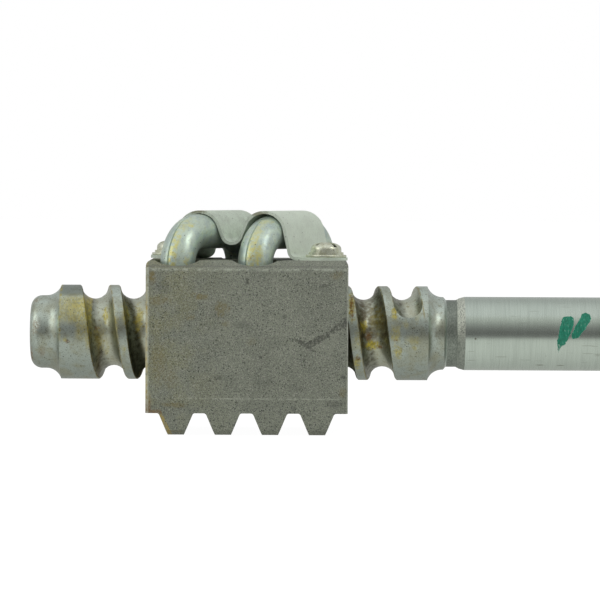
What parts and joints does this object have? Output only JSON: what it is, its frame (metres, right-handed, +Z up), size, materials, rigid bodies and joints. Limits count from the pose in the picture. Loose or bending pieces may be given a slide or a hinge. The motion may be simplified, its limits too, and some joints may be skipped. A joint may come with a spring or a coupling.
{
  "type": "recirculating-ball steering shaft",
  "caption": "Steering worm shaft with a recirculating-ball rack nut, return tubes and strap, turned by a serrated wheel end.",
  "frame": {"origin": "centre of the lower end face of the worm, on the shaft axis", "axes": "+X along the shaft toward the steering-wheel end, +Z up away from the rack teeth, +Y toward the rear strap screw side"},
  "size_m": [0.424, 0.044, 0.0597],
  "materials": {
    "worm_steel": "ground and turned bright steel, thin oil film",
    "nut_steel": "grey-green phosphated steel, sand texture",
    "tube_zinc": "bright zinc plated pressed steel",
    "strap_zinc": "dull zinc plated sheet steel",
    "screw_zinc": "bright zinc plated steel",
    "ball_steel": "polished bearing steel",
    "wheel_nut_steel": "plain steel"
  },
  "bodies": {
    "nut_unit": {"ball_lower_01": "ball_steel", "ball_lower_02": "ball_steel", "ball_lower_03": "ball_steel", "ball_lower_04": "ball_steel", "ball_lower_05": "ball_steel", "ball_lower_06": "ball_steel", "ball_lower_07": "ball_steel", "ball_lower_08": "ball_steel", "ball_lower_09": "ball_steel", "ball_lower_10": "ball_steel", "ball_lower_11": "ball_steel", "ball_lower_12": "ball_steel", "ball_lower_13": "ball_steel", "ball_lower_14": "ball_steel", "ball_lower_15": "ball_steel", "ball_lower_16": "ball_steel", "ball_nut": "nut_steel", "ball_upper_01": "ball_steel", "ball_upper_02": "ball_steel", "ball_upper_03": "ball_steel", "ball_upper_04": "ball_steel", "ball_upper_05": "ball_steel", "ball_upper_06": "ball_steel", "ball_upper_07": "ball_steel", "ball_upper_08": "ball_steel", "ball_upper_09": "ball_steel", "ball_upper_10": "ball_steel", "ball_upper_11": "ball_steel", "ball_upper_12": "ball_steel", "ball_upper_13": "ball_steel", "ball_upper_14": "ball_steel", "ball_upper_15": "ball_steel", "ball_upper_16": "ball_steel", "plain_washer_front": "screw_zinc", "plain_washer_rear": "screw_zinc", "return_balls_lower": "ball_steel", "return_balls_upper": "ball_steel", "return_tube_lower_left": "tube_zinc", "return_tube_lower_right": "tube_zinc", "return_tube_upper_left": "tube_zinc", "return_tube_upper_right": "tube_zinc", "spring_washer_front": "screw_zinc", "spring_washer_rear": "screw_zinc", "strap_screw_front": "screw_zinc", "strap_screw_rear": "screw_zinc", "tube_strap": "strap_zinc"},
    "washer_unit": {"wheel_washer": "wheel_nut_steel"},
    "shaft_unit": {"worm_shaft": "worm_steel", "wheel_nut": "wheel_nut_steel", "wheel_lock_washer": "wheel_nut_steel"}
  },
  "joints": [
    {"name": "shaft_travel", "type": "slide", "parent": "nut_unit", "child": "washer_unit", "axis": [1, 0, 0], "range_m": [-0.0198, 0.0198]},
    {"name": "shaft_turn", "type": "hinge", "parent": "washer_unit", "child": "shaft_unit", "pos_m": [0, 0, 0], "axis": [1, 0, 0], "range_deg": [-684, 684]}
  ],
  "couplings": [
    {"joint": "shaft_travel", "follows": "shaft_turn", "m_per_rad": 0.0016584}
  ]
}
